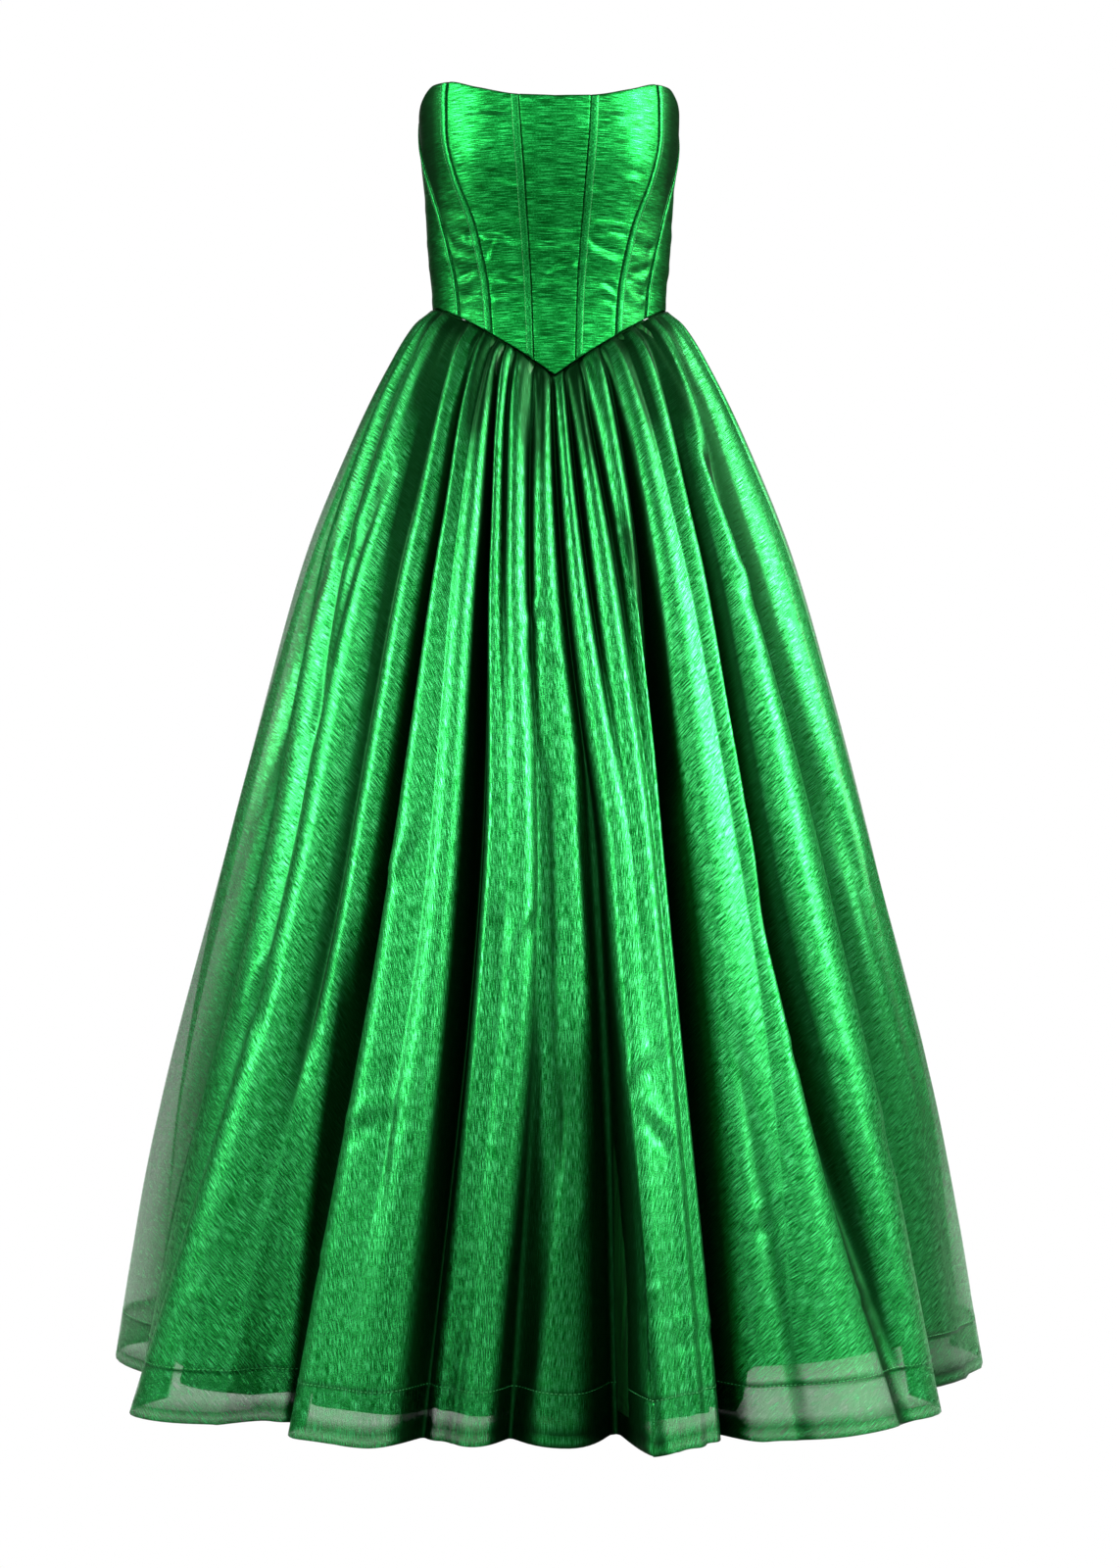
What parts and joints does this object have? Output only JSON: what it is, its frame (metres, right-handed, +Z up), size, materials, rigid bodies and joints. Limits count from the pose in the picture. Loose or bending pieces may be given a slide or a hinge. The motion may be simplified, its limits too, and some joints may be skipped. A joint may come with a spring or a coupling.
{
  "type": "corset gown",
  "caption": "Strapless boned bodice with a pointed waist and a full-length gathered skirt of sheer organza over a shorter lining, worn form, zipped at the back",
  "frame": {"origin": "on the body's axis at the height of the side waist seam, where the bodice grips the wearer's waist", "axes": "+Z up, -Y the gown's front, +X the wearer's left, which is the viewer's right"},
  "size_m": [0.9097, 0.9427, 1.3271],
  "materials": {
    "satin": "metallic green satin with fine crosswise slubs",
    "casing": "bright green strips of the same satin over the bones",
    "organza": "sheer metallic green organza with lengthwise streaks",
    "lining": "dark green satin lining",
    "zip": "dyed green zip tape with closed teeth",
    "zip_metal": "green lacquered metal"
  },
  "bodies": {
    "gown": {"centre_front_panel": "satin", "inner_front_panel_right": "satin", "inner_front_panel_left": "satin", "outer_front_panel_right": "satin", "outer_front_panel_left": "satin", "side_panel_right": "satin", "side_panel_left": "satin", "back_panel_right": "satin", "back_panel_left": "satin", "centre_casing_right": "casing", "centre_casing_left": "casing", "princess_casing_right": "casing", "princess_casing_left": "casing", "side_casing_right": "casing", "side_casing_left": "casing", "back_zip": "zip", "zip_slider": "zip_metal", "skirt_front": "organza", "hem_facing_front": "organza", "skirt_back_left": "organza", "hem_facing_back_left": "organza", "skirt_back_right": "organza", "hem_facing_back_right": "organza", "lining_front": "lining", "lining_back": "lining"},
    "pull": {"zip_pull": "zip_metal"}
  },
  "joints": [
    {"name": "pull_lift", "type": "hinge", "parent": "gown", "child": "pull", "pos_m": [0, 0.1062, 0.163], "axis": [1, 0, 0], "range_deg": [0, 150]}
  ]
}
